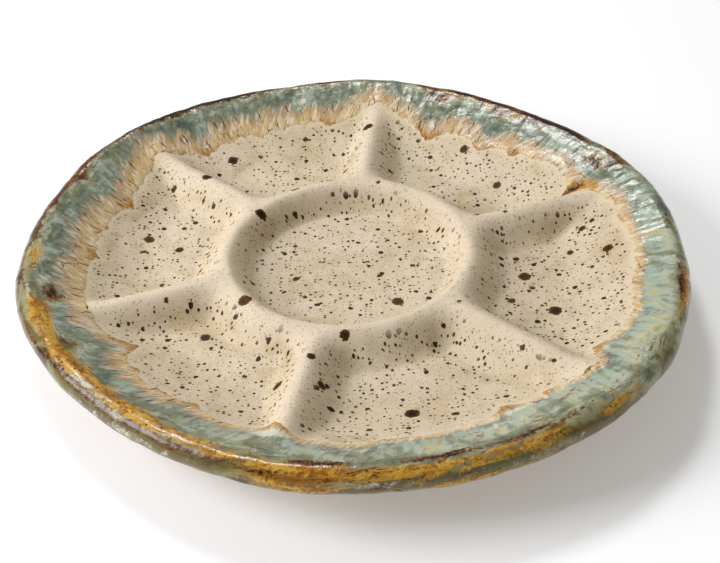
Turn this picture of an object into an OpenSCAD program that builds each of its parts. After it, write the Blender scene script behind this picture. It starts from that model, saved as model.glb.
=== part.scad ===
// Chip and dip server: a wide divided platter of glazed stoneware, fired in one piece.
// A round dip well sits in the middle, inside a raised ring. Smooth ridges run from the ring
// out to a broad wavy rim and part the rest into chip compartments. The clay body stands on
// a bare foot ring, and carries three coats of glaze: rim, wells and underside.
// Origin: on the table under the middle of the platter. +Z is up.

/* [Platter] */
// Mean radius of the glazed outline
platter_r = 179; // [148:1:220]
// Height of the lip above the table at its highest
platter_h = 40; // [34:0.5:55]
// How far the long radius passes the mean, and the short one stays under it
oval = 6; // [0:0.5:9]
// Direction of the long radius, in degrees
oval_turn = 134; // [0:1:180]
// Outward swell of the outline where a ridge meets it
lobe = 1.2; // [0:0.1:3]
// Rise and fall of the lip around the platter
wave = 0.7; // [0:0.1:1.5]

/* [Clay] */
// Thickness of the clay under the floors and the rim
clay_t = 8; // [6.5:0.5:12]
// Radius of the rolled lip
lip_r = 6; // [4.5:0.25:8]
// Slope of the rim where it meets the lip, in degrees
rim_slope = 20; // [12:1:30]
// Distance from the outline in to where the compartment floors begin to rise
rim_reach = 69; // [55:1:78]

/* [Dividers] */
// Number of chip compartments
compartments = 6; // [4:1:8]
// Direction of the first ridge, in degrees
ridge_turn = 16; // [0:1:60]
// How far one ridge strays from its even place, in degrees
stray = 5.5; // [-8:0.5:8]
// Which ridge strays, counted round from the first
stray_ridge = 1; // [1:1:2]
// Height of the ring and the ridges above the floors
divider_h = 15; // [10:0.5:18]
// Half the width of a ridge at its base
ridge_half_w = 21; // [14:0.5:22]
// Radius of the dip well, measured to the top of its ring
well_r = 67; // [50:1:82]
// Width of the slope from the ring's top down into the dip well
ring_in_w = 15; // [10:0.5:20]
// Width of the slope from the ring's top down to the compartments
ring_out_w = 21; // [12:0.5:22]

/* [Foot] */
// Outer radius of the foot ring
foot_r = 113; // [90:1:125]
// Width of the foot ring's flat face
foot_w = 8; // [5:0.5:12]
// Height of the foot ring
foot_h = 5.5; // [4:0.25:8]

/* [Glaze] */
// Thickness of each coat of glaze
glaze_t = 0.8; // [0.5:0.1:1.2]
// Width of the rim's glaze, from the outline in to where it meets the wells' glaze
rim_glaze_w = 35; // [25:1:45]
// Bare clay left between the underside's glaze and the foot ring
wipe_w = 3; // [2:0.5:8]

/* [Hidden] */

sector = 360 / compartments;
floor_z = foot_h + clay_t;
lip_from = 90 + rim_slope;  // where the rim's slope runs into the lip's round
lip_to = -70;               // where the lip's round runs into the underside
under_w = 20;               // the underside's slope stops this far inside the outline
blend_p = 4;                // how tightly a ridge blends into the rim
fade_p = 6;                 // how late a ridge fades out on its way up to the lip
foot_bite = clay_t / 2;     // how far the foot ring runs up into the clay
foot_fn = 96;

// Columns of the mesh. They crowd together over the ridges, where the surface turns most.
columns_per_sector = 16;
columns = columns_per_sector * compartments;
crowding = 0.55;
function crowd(u) = (1 - crowding) * u + crowding * pow(u, 3);
column_angles = [
    for (k = [0:compartments - 1], j = [0:columns_per_sector - 1])
        ridge_turn + sector * (k + crowd(2 * j / columns_per_sector - 1) / 2)
];

// Steps along each stretch of the section, from the middle of the platter outward
WELL_STEPS = 2;
SLOPE_STEPS = 4;
FLOOR_STEPS = 6;
RIM_STEPS = 4;
LIP_STEPS = 7;
UNDER_STEPS = 5;
MELT = WELL_STEPS + 2 * SLOPE_STEPS + FLOOR_STEPS;  // the station where the two top glazes meet
LIP_END = MELT + RIM_STEPS + LIP_STEPS;
UNDER_END = LIP_END + UNDER_STEPS;

// A rounded hump: 1 on its crest, 0 at distance w and beyond
function bell(d, w) = d < w ? (1 + cos(180 * d / w)) / 2 : 0;

// Every function below takes the angle a that a place would have if all ridges stood evenly.
// This gives its true direction, drawn over towards the ridge that strays.
function true_angle(a) = a + stray * bell(abs(a - ridge_turn - sector * stray_ridge), sector);

// Plan and height of the lip
function outline_r(a) =
    platter_r + oval * cos(2 * (true_angle(a) - oval_turn)) + lobe * cos(compartments * (a - ridge_turn));
function lip_top(a) = platter_h - wave + wave * cos(compartments * (a - ridge_turn));
function lip_mid_r(a) = outline_r(a) - glaze_t - lip_r;
function lip_mid_z(a) = lip_top(a) - glaze_t - lip_r;
function slope_end_r(a) = lip_mid_r(a) + lip_r * cos(lip_from);
function slope_end_z(a) = lip_mid_z(a) + lip_r * sin(lip_from);
function slope_start_r(a) = outline_r(a) - rim_reach;
function melt_r(a) = outline_r(a) - rim_glaze_w;

// How far up the rim's slope radius r is: 0 at the floor's edge, 1 where the lip's round begins
function slope_share(a, r) =
    min(max((r - slope_start_r(a)) / (slope_end_r(a) - slope_start_r(a)), 0), 1);

// Rise of the rim above the floor: level at the floor's edge, at the rim's slope under the lip
function rim_rise(a, r) =
    let (
        run = slope_end_r(a) - slope_start_r(a),
        u = slope_share(a, r)
    )
    (slope_end_z(a) - floor_z) * (3 - 2 * u) * u * u + tan(rim_slope) * run * (u - 1) * u * u;

// Rise of the ring and the ridges, as a share of their full height
function divider_rise(a, r) =
    let (
        off_ridge = a - ridge_turn - sector * round((a - ridge_turn) / sector),
        ring = r < well_r ? bell(well_r - r, ring_in_w) : bell(r - well_r, ring_out_w),
        ridge = r < well_r ? 0 : bell(abs(r * sin(off_ridge)), ridge_half_w)
    )
    (1 - (1 - ring) * (1 - ridge)) * (1 - pow(slope_share(a, r), fade_p));

// Height of the clay's upper and lower surfaces
function top_z(a, r) =
    floor_z + pow(pow(divider_h * divider_rise(a, r), blend_p) + pow(rim_rise(a, r), blend_p), 1 / blend_p);
function under_z(a, r) = foot_h + rim_rise(a, r);

// Values from a to b in equal steps, without a
function steps_to(a, b, steps) = [for (k = [1:steps]) a + (b - a) * k / steps];

// The clay's section at angle a, as [radius, height, outward direction as radius and height],
// from the first station past the middle, over the lip, and in under to the foot ring's middle
function top_section(a) = [
    for (r = concat(
        steps_to(0, well_r - ring_in_w, WELL_STEPS),
        steps_to(well_r - ring_in_w, well_r, SLOPE_STEPS),
        steps_to(well_r, well_r + ring_out_w, SLOPE_STEPS),
        steps_to(well_r + ring_out_w, melt_r(a), FLOOR_STEPS),
        steps_to(melt_r(a), slope_end_r(a), RIM_STEPS)
    )) [r, top_z(a, r), 0, 1]
];
function lip_section(a) = [
    for (t = steps_to(lip_from, lip_to, LIP_STEPS))
        [lip_mid_r(a) + lip_r * cos(t), lip_mid_z(a) + lip_r * sin(t), cos(t), sin(t)]
];
function under_section(a) = [
    for (r = steps_to(outline_r(a) - under_w, foot_r + wipe_w, UNDER_STEPS))
        [r, under_z(a, r), sin(rim_slope / 2), -cos(rim_slope / 2)]
];
foot_mid = [foot_r - foot_w / 2, foot_h, 0, -1];
sections = [for (a = column_angles) concat(top_section(a), lip_section(a), under_section(a), [foot_mid])];

// One ring of points at station s of every section, raised off the clay by t
function ring_at(s, t) = [
    for (c = [0:columns - 1])
        let (p = sections[c][s], a = true_angle(column_angles[c]), r = p[0] + t * p[2])
        [r * cos(a), r * sin(a), p[1] + t * p[3]]
];

// Triangles between ring i and ring j. Surfaces that run back inward split the other way, so
// that glaze and clay share every triangle of the face between them.
function belt(i, j, back) = [
    for (c = [0:columns - 1])
        let (d = (c + 1) % columns, p = i * columns, q = j * columns)
        each back
            ? [[p + c, p + d, q + c], [p + d, q + d, q + c]]
            : [[p + c, p + d, q + d], [p + c, q + d, q + c]]
];
function fan(i, pole, up) = [
    for (c = [0:columns - 1])
        let (d = (c + 1) % columns, p = i * columns)
        up ? [pole, p + d, p + c] : [p + c, p + d, pole]
];

// A closed solid from a stack of rings with a point in the middle of each end
module capped(rings, first, last, turn_at) {
    n = len(rings);
    polyhedron(
        points = concat([for (ring = rings) each ring], [first, last]),
        faces = concat(
            fan(0, n * columns, true),
            [for (i = [0:n - 2]) each belt(i, i + 1, i >= turn_at)],
            fan(n - 1, n * columns + 1, false)
        )
    );
}

// A closed solid all round the platter from rings that run out and back again
module hoop(rings, turn_at) {
    n = len(rings);
    polyhedron(
        points = [for (ring = rings) each ring],
        faces = [for (i = [0:n - 1]) each belt(i, (i + 1) % n, i >= turn_at)]
    );
}

module foot_ring() {
    rotate_extrude($fn = foot_fn)
        translate([foot_r - foot_w, 0]) square([foot_w, foot_h + foot_bite]);
}

module stoneware_body() {
    stations = len(sections[0]);
    color("#b59a78") union() {
        capped(
            [for (s = [0:stations - 1]) ring_at(s, 0)],
            [0, 0, floor_z], [0, 0, foot_h], stations
        );
        foot_ring();
    }
}

// A coat of glaze between two stations: out along its face, and back along the clay
function coat(from, to) = concat(
    [for (s = [from:to]) ring_at(s, glaze_t)],
    [for (s = [to:-1:from]) ring_at(s, 0)]
);

module rim_glaze() {
    color("#7f9d97") hoop(coat(MELT - 1, LIP_END - 1), LIP_END - MELT + 1);
}

module well_glaze() {
    color("#dccdb2")
        capped(coat(0, MELT - 1), [0, 0, floor_z + glaze_t], [0, 0, floor_z], MELT);
}

module underside_glaze() {
    color("#8b7a5c") hoop(coat(LIP_END - 1, UNDER_END - 1), UNDER_END - LIP_END + 1);
}

stoneware_body();
rim_glaze();
well_glaze();
underside_glaze();
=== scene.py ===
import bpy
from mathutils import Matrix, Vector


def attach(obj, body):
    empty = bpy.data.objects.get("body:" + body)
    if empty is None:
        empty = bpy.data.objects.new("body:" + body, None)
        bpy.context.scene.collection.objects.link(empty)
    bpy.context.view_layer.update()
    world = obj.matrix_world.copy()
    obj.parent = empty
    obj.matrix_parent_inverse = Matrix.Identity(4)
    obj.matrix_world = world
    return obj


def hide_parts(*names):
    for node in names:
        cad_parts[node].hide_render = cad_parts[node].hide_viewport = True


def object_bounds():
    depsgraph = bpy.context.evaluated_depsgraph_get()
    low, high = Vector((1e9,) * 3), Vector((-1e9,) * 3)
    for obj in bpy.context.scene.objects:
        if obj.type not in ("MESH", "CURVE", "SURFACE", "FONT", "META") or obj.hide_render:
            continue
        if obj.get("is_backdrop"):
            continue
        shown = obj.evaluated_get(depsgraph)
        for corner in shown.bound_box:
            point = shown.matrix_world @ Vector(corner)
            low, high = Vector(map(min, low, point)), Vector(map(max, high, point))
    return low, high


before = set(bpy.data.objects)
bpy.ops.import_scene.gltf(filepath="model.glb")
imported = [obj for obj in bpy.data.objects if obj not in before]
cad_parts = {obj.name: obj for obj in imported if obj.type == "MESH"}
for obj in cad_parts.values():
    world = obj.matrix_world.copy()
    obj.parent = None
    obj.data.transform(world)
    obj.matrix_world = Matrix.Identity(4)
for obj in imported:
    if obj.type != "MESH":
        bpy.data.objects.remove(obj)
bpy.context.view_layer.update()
"""Chip and dip server: the finished look of a divided stoneware platter.

The platter is one fired piece: a clay body under three coats of glaze. Each of the four is a
class here. All of them take their surface from one PlatterForm, which says where the platter's
section runs at every angle, so the coats lie on the clay and meet each other.

Lengths inside the form are in millimetres. Finished meshes are in metres.
"""
import logging
import math
from dataclasses import dataclass
from enum import Enum

import bmesh
import bpy
import numpy as np
from mathutils import Matrix, Vector

log = logging.getLogger("platter")

MM = 0.001
FULL_TURN = 2 * math.pi
BODY = "root"
SEAM = 1e-7
RIM_R = 160.0


class Layer(Enum):
    """Which side of a layer a station of its section lies on."""

    FACE = 0
    BACK = -1


def smooth(values: np.ndarray, low: float, high: float) -> np.ndarray:
    """Ease from 0 at low to 1 at high."""
    share = np.clip((values - low) / (high - low), 0, 1)
    return share * share * (3 - 2 * share)


def bell(distance: np.ndarray, width: np.ndarray) -> np.ndarray:
    """A rounded hump: 1 at no distance, 0 at the width and beyond."""
    return 0.5 + 0.5 * np.cos(np.pi * np.clip(distance / width, 0, 1))


def turn_between(angle: np.ndarray, middle: float) -> np.ndarray:
    """Smallest turn from a direction in degrees to each angle in radians, in radians."""
    return (angle - math.radians(middle) + np.pi) % FULL_TURN - np.pi


@dataclass(frozen=True)
class Wander:
    """Smooth unevenness of hand work: a sum of plane waves, the same on every run.

    Attributes:
        shortest: shortest wave, in millimetres.
        longest: longest wave, in millimetres.
        seed: picks one pattern.
        waves: how many waves are added.
    """

    shortest: float
    longest: float
    seed: int
    waves: int = 26

    def at(self, points: np.ndarray) -> np.ndarray:
        """Work out the unevenness.

        Args:
            points: an (n, 3) array of places, in millimetres.

        Returns:
            The unevenness at each place, mostly between -1 and 1.
        """
        rng = np.random.default_rng(self.seed)
        heading = rng.normal(size=(self.waves, 3))
        heading /= np.linalg.norm(heading, axis=1, keepdims=True)
        length = np.exp(rng.uniform(math.log(self.shortest), math.log(self.longest), self.waves))
        phase = rng.uniform(0, FULL_TURN, self.waves)
        swing = np.cos(points @ (heading * FULL_TURN / length[:, None]).T + phase)
        return swing.sum(axis=1) / math.sqrt(2 * self.waves)


@dataclass(frozen=True)
class PlatterForm:
    """The platter's surface, in millimetres, as the CAD model has it.

    A place on the surface is an angle and a run: the distance along the section from the middle
    of the dip well out over the lip, in under the rim, down the foot ring and to the middle of
    the base.
    """

    platter_r: float = 179.0
    platter_h: float = 40.0
    oval: float = 6.0
    oval_turn: float = 134.0
    lobe: float = 1.2
    wave: float = 0.7
    clay_t: float = 8.0
    lip_r: float = 6.0
    rim_slope: float = 20.0
    rim_reach: float = 69.0
    compartments: int = 6
    ridge_turn: float = 16.0
    stray: float = 5.5
    stray_ridge: int = 1
    divider_h: float = 15.0
    ridge_half_w: float = 21.0
    well_r: float = 67.0
    ring_in_w: float = 15.0
    ring_out_w: float = 21.0
    foot_r: float = 113.0
    foot_w: float = 8.0
    foot_h: float = 5.5
    foot_round: float = 1.4
    glaze_t: float = 0.8
    rim_glaze_w: float = 35.0
    wipe_w: float = 3.0
    under_w: float = 20.0
    lip_end_turn: float = -70.0
    blend_p: int = 4
    fade_p: int = 6

    @property
    def floor_z(self) -> float:
        """Height of the clay under the floors of the wells."""
        return self.foot_h + self.clay_t

    @property
    def ring_edge(self) -> float:
        """Run at which the round middle ends and the stretched compartments begin."""
        return self.well_r + self.ring_out_w

    @property
    def lip_start_turn(self) -> float:
        """Direction on the lip's round where the rim's slope meets it, in degrees."""
        return 90 + self.rim_slope

    @property
    def slope_run(self) -> float:
        """Run at which the rim's slope ends and the lip's round begins."""
        lip_mid = self.platter_r - self.glaze_t - self.lip_r
        return lip_mid + self.lip_r * math.cos(math.radians(self.lip_start_turn))

    @property
    def melt_run(self) -> float:
        """Run at which the rim's glaze meets the wells' glaze."""
        return self.platter_r - self.rim_glaze_w

    @property
    def lip_run(self) -> float:
        """Run at which the lip's round ends."""
        swept = math.radians(self.lip_start_turn - self.lip_end_turn)
        return self.slope_run + swept * (self.lip_r + self.glaze_t)

    @property
    def under_run(self) -> float:
        """Run at which the underside's glaze stops, short of the foot ring."""
        return self.lip_run + self.platter_r - self.foot_r - self.wipe_w

    def true_angle(self, angle: np.ndarray) -> np.ndarray:
        """Direction of a place, drawn over towards the ridge that strays from its even place.

        Args:
            angle: direction in an evenly divided platter, in radians.

        Returns:
            The direction on this platter, in radians.
        """
        sector = FULL_TURN / self.compartments
        off = turn_between(angle, self.ridge_turn + math.degrees(sector) * self.stray_ridge)
        return angle + math.radians(self.stray) * bell(np.abs(off), sector)

    def outline(self, angle: np.ndarray) -> np.ndarray:
        """Radius of the glazed outline."""
        ovalness = self.oval * np.cos(2 * turn_between(self.true_angle(angle), self.oval_turn))
        return self.platter_r + ovalness + self.lobe * self.swell(angle)

    def swell(self, angle: np.ndarray) -> np.ndarray:
        """Share of the swell at the ridges' ends, from -1 between them to 1 on them."""
        return np.cos(self.compartments * turn_between(angle, self.ridge_turn))

    def lip_middle(self, angle: np.ndarray) -> tuple[np.ndarray, np.ndarray]:
        """Radius and height of the middle of the lip's round."""
        top = self.platter_h - self.wave + self.wave * self.swell(angle)
        return self.outline(angle) - self.glaze_t - self.lip_r, top - self.glaze_t - self.lip_r

    def slope_end(self, angle: np.ndarray) -> tuple[np.ndarray, np.ndarray]:
        """Radius and height at which the rim's slope meets the lip's round.

        Args:
            angle: direction from the platter's middle, in radians.

        Returns:
            Radius and height, in millimetres.
        """
        mid_r, mid_z = self.lip_middle(angle)
        turn = math.radians(self.lip_start_turn)
        return mid_r + self.lip_r * math.cos(turn), mid_z + self.lip_r * math.sin(turn)

    def slope_share(self, angle: np.ndarray, radius: np.ndarray) -> np.ndarray:
        """How far up the rim's slope a radius is, from 0 to 1.

        Args:
            angle: direction from the platter's middle, in radians.
            radius: distance from the platter's middle, in millimetres.

        Returns:
            The share of the slope, from 0 to 1.
        """
        start = self.outline(angle) - self.rim_reach
        end = self.slope_end(angle)[0]
        return np.clip((radius - start) / (end - start), 0, 1)

    def rim_rise(self, angle: np.ndarray, radius: np.ndarray) -> np.ndarray:
        """Rise of the rim above the floors.

        Args:
            angle: direction from the platter's middle, in radians.
            radius: distance from the platter's middle, in millimetres.

        Returns:
            The rise, in millimetres.
        """
        end_r, end_z = self.slope_end(angle)
        length = end_r - (self.outline(angle) - self.rim_reach)
        share = self.slope_share(angle, radius)
        lift = (end_z - self.floor_z) * (3 - 2 * share) * share * share
        return lift + math.tan(math.radians(self.rim_slope)) * length * (share - 1) * share * share

    def divider_rise(self, angle: np.ndarray, radius: np.ndarray) -> np.ndarray:
        """Rise of the ring and the ridges, as a share of their full height.

        Args:
            angle: direction from the platter's middle, in radians.
            radius: distance from the platter's middle, in millimetres.

        Returns:
            The share, from 0 on the floors to 1 on a crest.
        """
        sector = FULL_TURN / self.compartments
        turn = turn_between(angle, self.ridge_turn)
        off_ridge = turn - sector * np.round(turn / sector)
        ring_w = np.where(radius < self.well_r, self.ring_in_w, self.ring_out_w)
        ring = bell(np.abs(radius - self.well_r), ring_w)
        ridge = bell(np.abs(radius * np.sin(off_ridge)), self.ridge_half_w)
        ridge = np.where(radius < self.well_r, 0, ridge)
        return (1 - (1 - ring) * (1 - ridge)) * (1 - self.slope_share(angle, radius) ** self.fade_p)

    def top(self, angle: np.ndarray, radius: np.ndarray) -> np.ndarray:
        """Height of the clay's upper surface."""
        dividers = (self.divider_h * self.divider_rise(angle, radius)) ** self.blend_p
        return self.floor_z + (dividers + self.rim_rise(angle, radius) ** self.blend_p) ** (1 / self.blend_p)

    def foot_path(self) -> tuple[np.ndarray, np.ndarray]:
        """Radius and height of the base's section from the glaze's end to the base's middle.

        Returns:
            Radius and height of each point, in millimetres.
        """
        outer, inner, soft = self.foot_r, self.foot_r - self.foot_w, self.foot_round
        corner = np.radians(np.linspace(0, 90, 6))
        out_r = outer - soft + soft * np.cos(corner)
        in_r = inner + soft - soft * np.cos(corner[::-1])
        edge_z = soft - soft * np.sin(corner)
        base_r = np.linspace(inner - soft, 0, 70)
        neck_r = outer + soft - soft * np.sin(corner)
        neck_z = self.foot_h + 0.5 - soft + soft * np.cos(corner)
        cove_r = inner - soft + soft * np.cos(corner)
        cove_z = self.foot_h - soft + soft * np.sin(corner)
        radius = np.concatenate([neck_r, out_r, in_r, cove_r, base_r[1:]])
        height = np.concatenate([neck_z, edge_z, edge_z[::-1], cove_z, np.full(69, self.foot_h)])
        return radius, height

    def section(self, angle: np.ndarray, run: np.ndarray) -> tuple[np.ndarray, np.ndarray]:
        """Where the clay's section is.

        Args:
            angle: direction from the platter's middle, in radians.
            run: distance along the section.

        Returns:
            Radius and height of the clay's surface, in millimetres.
        """
        end_r = self.slope_end(angle)[0]
        stretch = (end_r - self.ring_edge) / (self.slope_run - self.ring_edge)
        radius = np.where(run < self.ring_edge, run, self.ring_edge + (run - self.ring_edge) * stretch)
        height = self.top(angle, np.minimum(radius, end_r))

        swept = np.clip((run - self.slope_run) / (self.lip_run - self.slope_run), 0, 1)
        turn = np.radians(self.lip_start_turn + (self.lip_end_turn - self.lip_start_turn) * swept)
        mid_r, mid_z = self.lip_middle(angle)
        on_lip = run > self.slope_run
        radius = np.where(on_lip, mid_r + self.lip_r * np.cos(turn), radius)
        height = np.where(on_lip, mid_z + self.lip_r * np.sin(turn), height)

        share = np.clip((run - self.lip_run) / (self.under_run - self.lip_run), 0, 1)
        lip_end = math.radians(self.lip_end_turn)
        lip_r = mid_r + self.lip_r * math.cos(lip_end)
        lip_z = mid_z + self.lip_r * math.sin(lip_end)
        glaze_end = self.foot_r + self.wipe_w
        under_r = lip_r + (glaze_end - lip_r) * share
        near_lip = np.clip((lip_r - under_r) / (lip_r - self.outline(angle) + self.under_w), 0, 1)
        settle = near_lip * near_lip * (3 - 2 * near_lip)
        under_z = lip_z + (self.foot_h + self.rim_rise(angle, under_r) - lip_z) * settle
        on_under = run > self.lip_run
        radius = np.where(on_under, under_r, radius)
        height = np.where(on_under, under_z, height)

        foot_r, foot_z = self.foot_path()
        step = np.hypot(np.diff(foot_r), np.diff(foot_z))
        along = np.concatenate([[0], np.cumsum(step)])
        past = run - self.under_run - self.wipe_w
        on_wipe = (run > self.under_run) & (past < 0)
        wiped = np.clip((run - self.under_run) / self.wipe_w, 0, 1)
        radius = np.where(on_wipe, glaze_end + (foot_r[0] - glaze_end) * wiped, radius)
        height = np.where(on_wipe, under_z + (foot_z[0] - under_z) * wiped, height)
        on_foot = past >= 0
        radius = np.where(on_foot, np.interp(past, along, foot_r), radius)
        height = np.where(on_foot, np.interp(past, along, foot_z), height)
        return radius, height

    def base_run(self) -> float:
        """Run at the middle of the base, where the section ends."""
        foot_r, foot_z = self.foot_path()
        return self.under_run + self.wipe_w + float(np.hypot(np.diff(foot_r), np.diff(foot_z)).sum())

    def place(self, angle: np.ndarray, run: np.ndarray, lift: np.ndarray) -> np.ndarray:
        """Points raised off the clay.

        Args:
            angle: direction from the platter's middle, in radians.
            run: distance along the section.
            lift: distance out from the clay's surface.

        Returns:
            An (n, 3) array of points, in millimetres.
        """
        radius, height = self.section(angle, run)
        before = self.section(angle, np.maximum(run - 0.25, 0))
        after = self.section(angle, run + 0.25)
        along_r, along_z = after[0] - before[0], after[1] - before[1]
        length = np.maximum(np.hypot(along_r, along_z), 1e-6)
        radius = radius - lift * along_z / length
        height = height + lift * along_r / length
        direction = self.true_angle(angle)
        return np.stack([radius * np.cos(direction), radius * np.sin(direction), height], axis=1)


@dataclass(frozen=True)
class Blush:
    """A place on the rim where one colour gathers: mostly a colour of the glaze, for a few pale places a
    painted highlight.

    Attributes:
        turn: direction from the platter's middle, in degrees.
        out: distance out from the line where the glazes meet, in millimetres.
        wide: reach along the rim, in millimetres.
        deep: reach across the rim, in millimetres.
        strength: how strongly it gathers.
    """

    turn: float
    out: float
    wide: float
    deep: float
    strength: float = 1.0


@dataclass(frozen=True)
class Tongue:
    """A pointed run of the rim's glaze down into the wells.

    Attributes:
        turn: direction from the platter's middle, in degrees.
        reach: how far it runs in, in millimetres. Negative where the glaze drew back.
        wide: half its width at its root, in millimetres.
    """

    turn: float
    reach: float
    wide: float


@dataclass(frozen=True)
class IronSpot:
    """A large spot where iron bled out of the clay: its place and radius, in millimetres."""

    x: float
    y: float
    size: float


@dataclass(frozen=True)
class IronScatter:
    """Large iron spots strewn over the wells by chance, the same on every run.

    Attributes:
        count: how many spots there are.
        small: smallest radius, in millimetres.
        large: largest radius, in millimetres.
        skew: how rare the larger ones are.
        apart: least distance between the middles of two spots, in millimetres.
        reach: how far out from the platter's middle they lie, in millimetres.
        seed: picks one pattern.
    """

    count: int = 50
    small: float = 1.5
    large: float = 4.2
    skew: float = 2.0
    apart: float = 9.0
    reach: float = 146.0
    seed: int = 5

    def spots(self) -> list[IronSpot]:
        """Choose the place and the size of each spot.

        Returns:
            The spots, none nearer to another than the least distance.
        """
        rng = np.random.default_rng(self.seed)
        chosen: list[IronSpot] = []
        while len(chosen) < self.count:
            out = self.reach * math.sqrt(rng.uniform())
            turn = rng.uniform(0, FULL_TURN)
            size = self.small + (self.large - self.small) * rng.uniform() ** self.skew
            spot = IronSpot(out * math.cos(turn), out * math.sin(turn), size)
            if all(math.hypot(spot.x - other.x, spot.y - other.y) > self.apart for other in chosen):
                chosen.append(spot)
        return chosen


@dataclass(frozen=True)
class Glazing:
    """Where the glazes meet, where their colours and iron spots gather, and where a highlight is painted
    along the front-left lip.
    """

    form: PlatterForm
    tongues: tuple[Tongue, ...] = (
        Tongue(126, 4, 9), Tongue(117, 1.5, 4), Tongue(109, 2, 7), Tongue(89, 3, 8),
        Tongue(62, 11, 15), Tongue(48, 9, 13), Tongue(40, 4, 6), Tongue(154, 6, 9), Tongue(164, 2, 5),
        Tongue(175, 4, 8), Tongue(-151, 17, 17), Tongue(-141, 3, 6),
        Tongue(-124, 6, 9), Tongue(-106, 9, 15), Tongue(-84, 2.5, 12),
        Tongue(-61, 7, 11), Tongue(-53, 3, 6), Tongue(-37, 5, 9), Tongue(20, 12, 8), Tongue(4, 1.5, 6),
        Tongue(-17, 2.5, 8), Tongue(76, -11, 22), Tongue(-44, -8, 20),
        Tongue(137, -8, 20), Tongue(-93, -5, 22), Tongue(31, -4, 18),
    )
    amber: tuple[Blush, ...] = (
        Blush(-168, 15, 10, 6, 1.0), Blush(-163, 22, 12, 5, 1.1), Blush(-178, 27, 20, 4, 1.0),
        Blush(-160, 27, 22, 5, 1.4), Blush(-145, 26, 30, 5, 1.5), Blush(-128, 27, 30, 5, 1.5),
        Blush(-113, 29, 24, 4, 1.2), Blush(-98, 31, 22, 5, 1.6), Blush(-84, 32, 26, 4, 1.3),
        Blush(-68, 32, 26, 4, 1.2), Blush(-52, 33, 26, 3, 0.9), Blush(-22, 32, 22, 4, 1.3),
        Blush(20, -4, 6, 10, 2.2), Blush(17, 6, 9, 6, 1.1), Blush(23, 20, 12, 5, 1.0),
        Blush(46, 25, 20, 4.5, 1.4), Blush(60, 28, 24, 3, 1.1), Blush(8, 34, 40, 2.5, 0.9),
        Blush(122, 28, 40, 3, 1.0), Blush(98, 30, 30, 2.5, 0.9), Blush(150, 30, 34, 3, 1.0),
        Blush(-135, 44, 60, 2, 0.8), Blush(-99, 39, 26, 4, 1.2), Blush(-76, 41, 30, 3, 1.0),
        Blush(-110, 44, 40, 2, 0.8), Blush(-48, 43, 50, 2.5, 0.8),
    )
    iron: tuple[Blush, ...] = (
        Blush(-168, 16, 9, 6, 1.1), Blush(-152, 21, 8, 3, 0.9), Blush(20, -4, 4, 9, 1.2),
        Blush(23, 18, 9, 5, 1.0), Blush(34, 27, 20, 4, 1.5), Blush(44, 29, 26, 3.5, 1.5),
        Blush(58, 30, 26, 2.5, 1.0), Blush(114, 28.5, 26, 3, 1.7), Blush(130, 28.5, 24, 3, 1.6),
        Blush(146, 30, 22, 2.5, 0.9), Blush(-97, 27, 14, 2.5, 1.2), Blush(-80, 26, 26, 2.5, 1.0),
        Blush(-62, 27, 26, 2.5, 0.8), Blush(-116, 33, 30, 1.6, 0.95), Blush(-137, 33, 34, 1.6, 0.95),
        Blush(-154, 34, 20, 2.5, 1.0), Blush(-172, 32, 16, 3, 0.9), Blush(-98, 35, 26, 1.8, 0.9),
        Blush(-20, 30, 20, 2.5, 0.9), Blush(0, 29, 20, 2.5, 0.7), Blush(-93, 44.5, 70, 1.2, 0.8),
    )
    # Pale patches of the glaze. The three at 29 to 29.5 mm out, from -160 to -124 degrees, are a painted
    # highlight along the front-left lip crest.
    pale: tuple[Blush, ...] = (
        Blush(-106, -5, 7, 8, 2.0), Blush(-106, 3, 18, 3, 1.2), Blush(-158, 3, 12, 6, 1.1),
        Blush(-150, -6, 5, 6, 0.9), Blush(-172, 20, 8, 5, 0.8), Blush(-160, 29, 20, 3, 0.7),
        Blush(-143, 29.5, 30, 2.5, 1.0), Blush(-124, 29.5, 30, 2.5, 1.0), Blush(-48, 4, 22, 5, 0.9),
        Blush(-30, 8, 18, 6, 0.7), Blush(-15, 1, 40, 2, 0.8), Blush(10, 8, 20, 6, 0.6),
        Blush(30, 8, 12, 6, 0.9), Blush(76, 9, 22, 2.5, 1.0), Blush(68, 16, 14, 5, 0.7),
        Blush(62, 2, 5, 7, 1.0), Blush(54, 4, 10, 5, 0.8), Blush(140, 3, 14, 5, 0.8),
        Blush(95, 16, 14, 3, 0.7), Blush(-66, 10, 24, 4, 0.6), Blush(-93, 14, 24, 4, 0.6),
        Blush(-84, 2, 9, 4, 1.3), Blush(-72, 1, 12, 3, 0.9), Blush(-60, 2, 12, 3, 1.2),
        Blush(-37, 2, 11, 3.5, 1.2), Blush(-4, 1, 22, 2.5, 1.1), Blush(29, 3, 16, 4, 1.3),
        Blush(-128, 38, 44, 3.5, 0.7), Blush(-88, 37, 20, 3, 0.7), Blush(-62, 38, 30, 2.5, 0.5),
    )
    scatter: IronScatter = IronScatter()

    def melt(self, angle: np.ndarray, run: np.ndarray) -> np.ndarray:
        """Distance from the line where the glazes meet, outward positive, in millimetres.

        Args:
            angle: direction from the platter's middle, in radians.
            run: distance along the section, in millimetres.

        Returns:
            The distance, in millimetres, negative over the wells.
        """
        rim = np.stack([np.cos(angle), np.sin(angle), np.zeros_like(angle)], axis=1) * self.form.melt_run
        line = self.form.melt_run + 9 * np.exp(-((turn_between(angle, -8) / math.radians(27)) ** 6))
        line = line + 0.9 * Wander(18, 60, 11).at(rim) + 0.95 * Wander(6, 15, 12).at(rim)
        line = line + 0.6 * Wander(1.8, 4.5, 13).at(rim)
        for tongue in self.tongues:
            off = np.abs(turn_between(angle, tongue.turn)) * self.form.melt_run / tongue.wide
            line = line - tongue.reach * np.exp(-((1.7 * off) ** 1.3))
        return run - line

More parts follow.
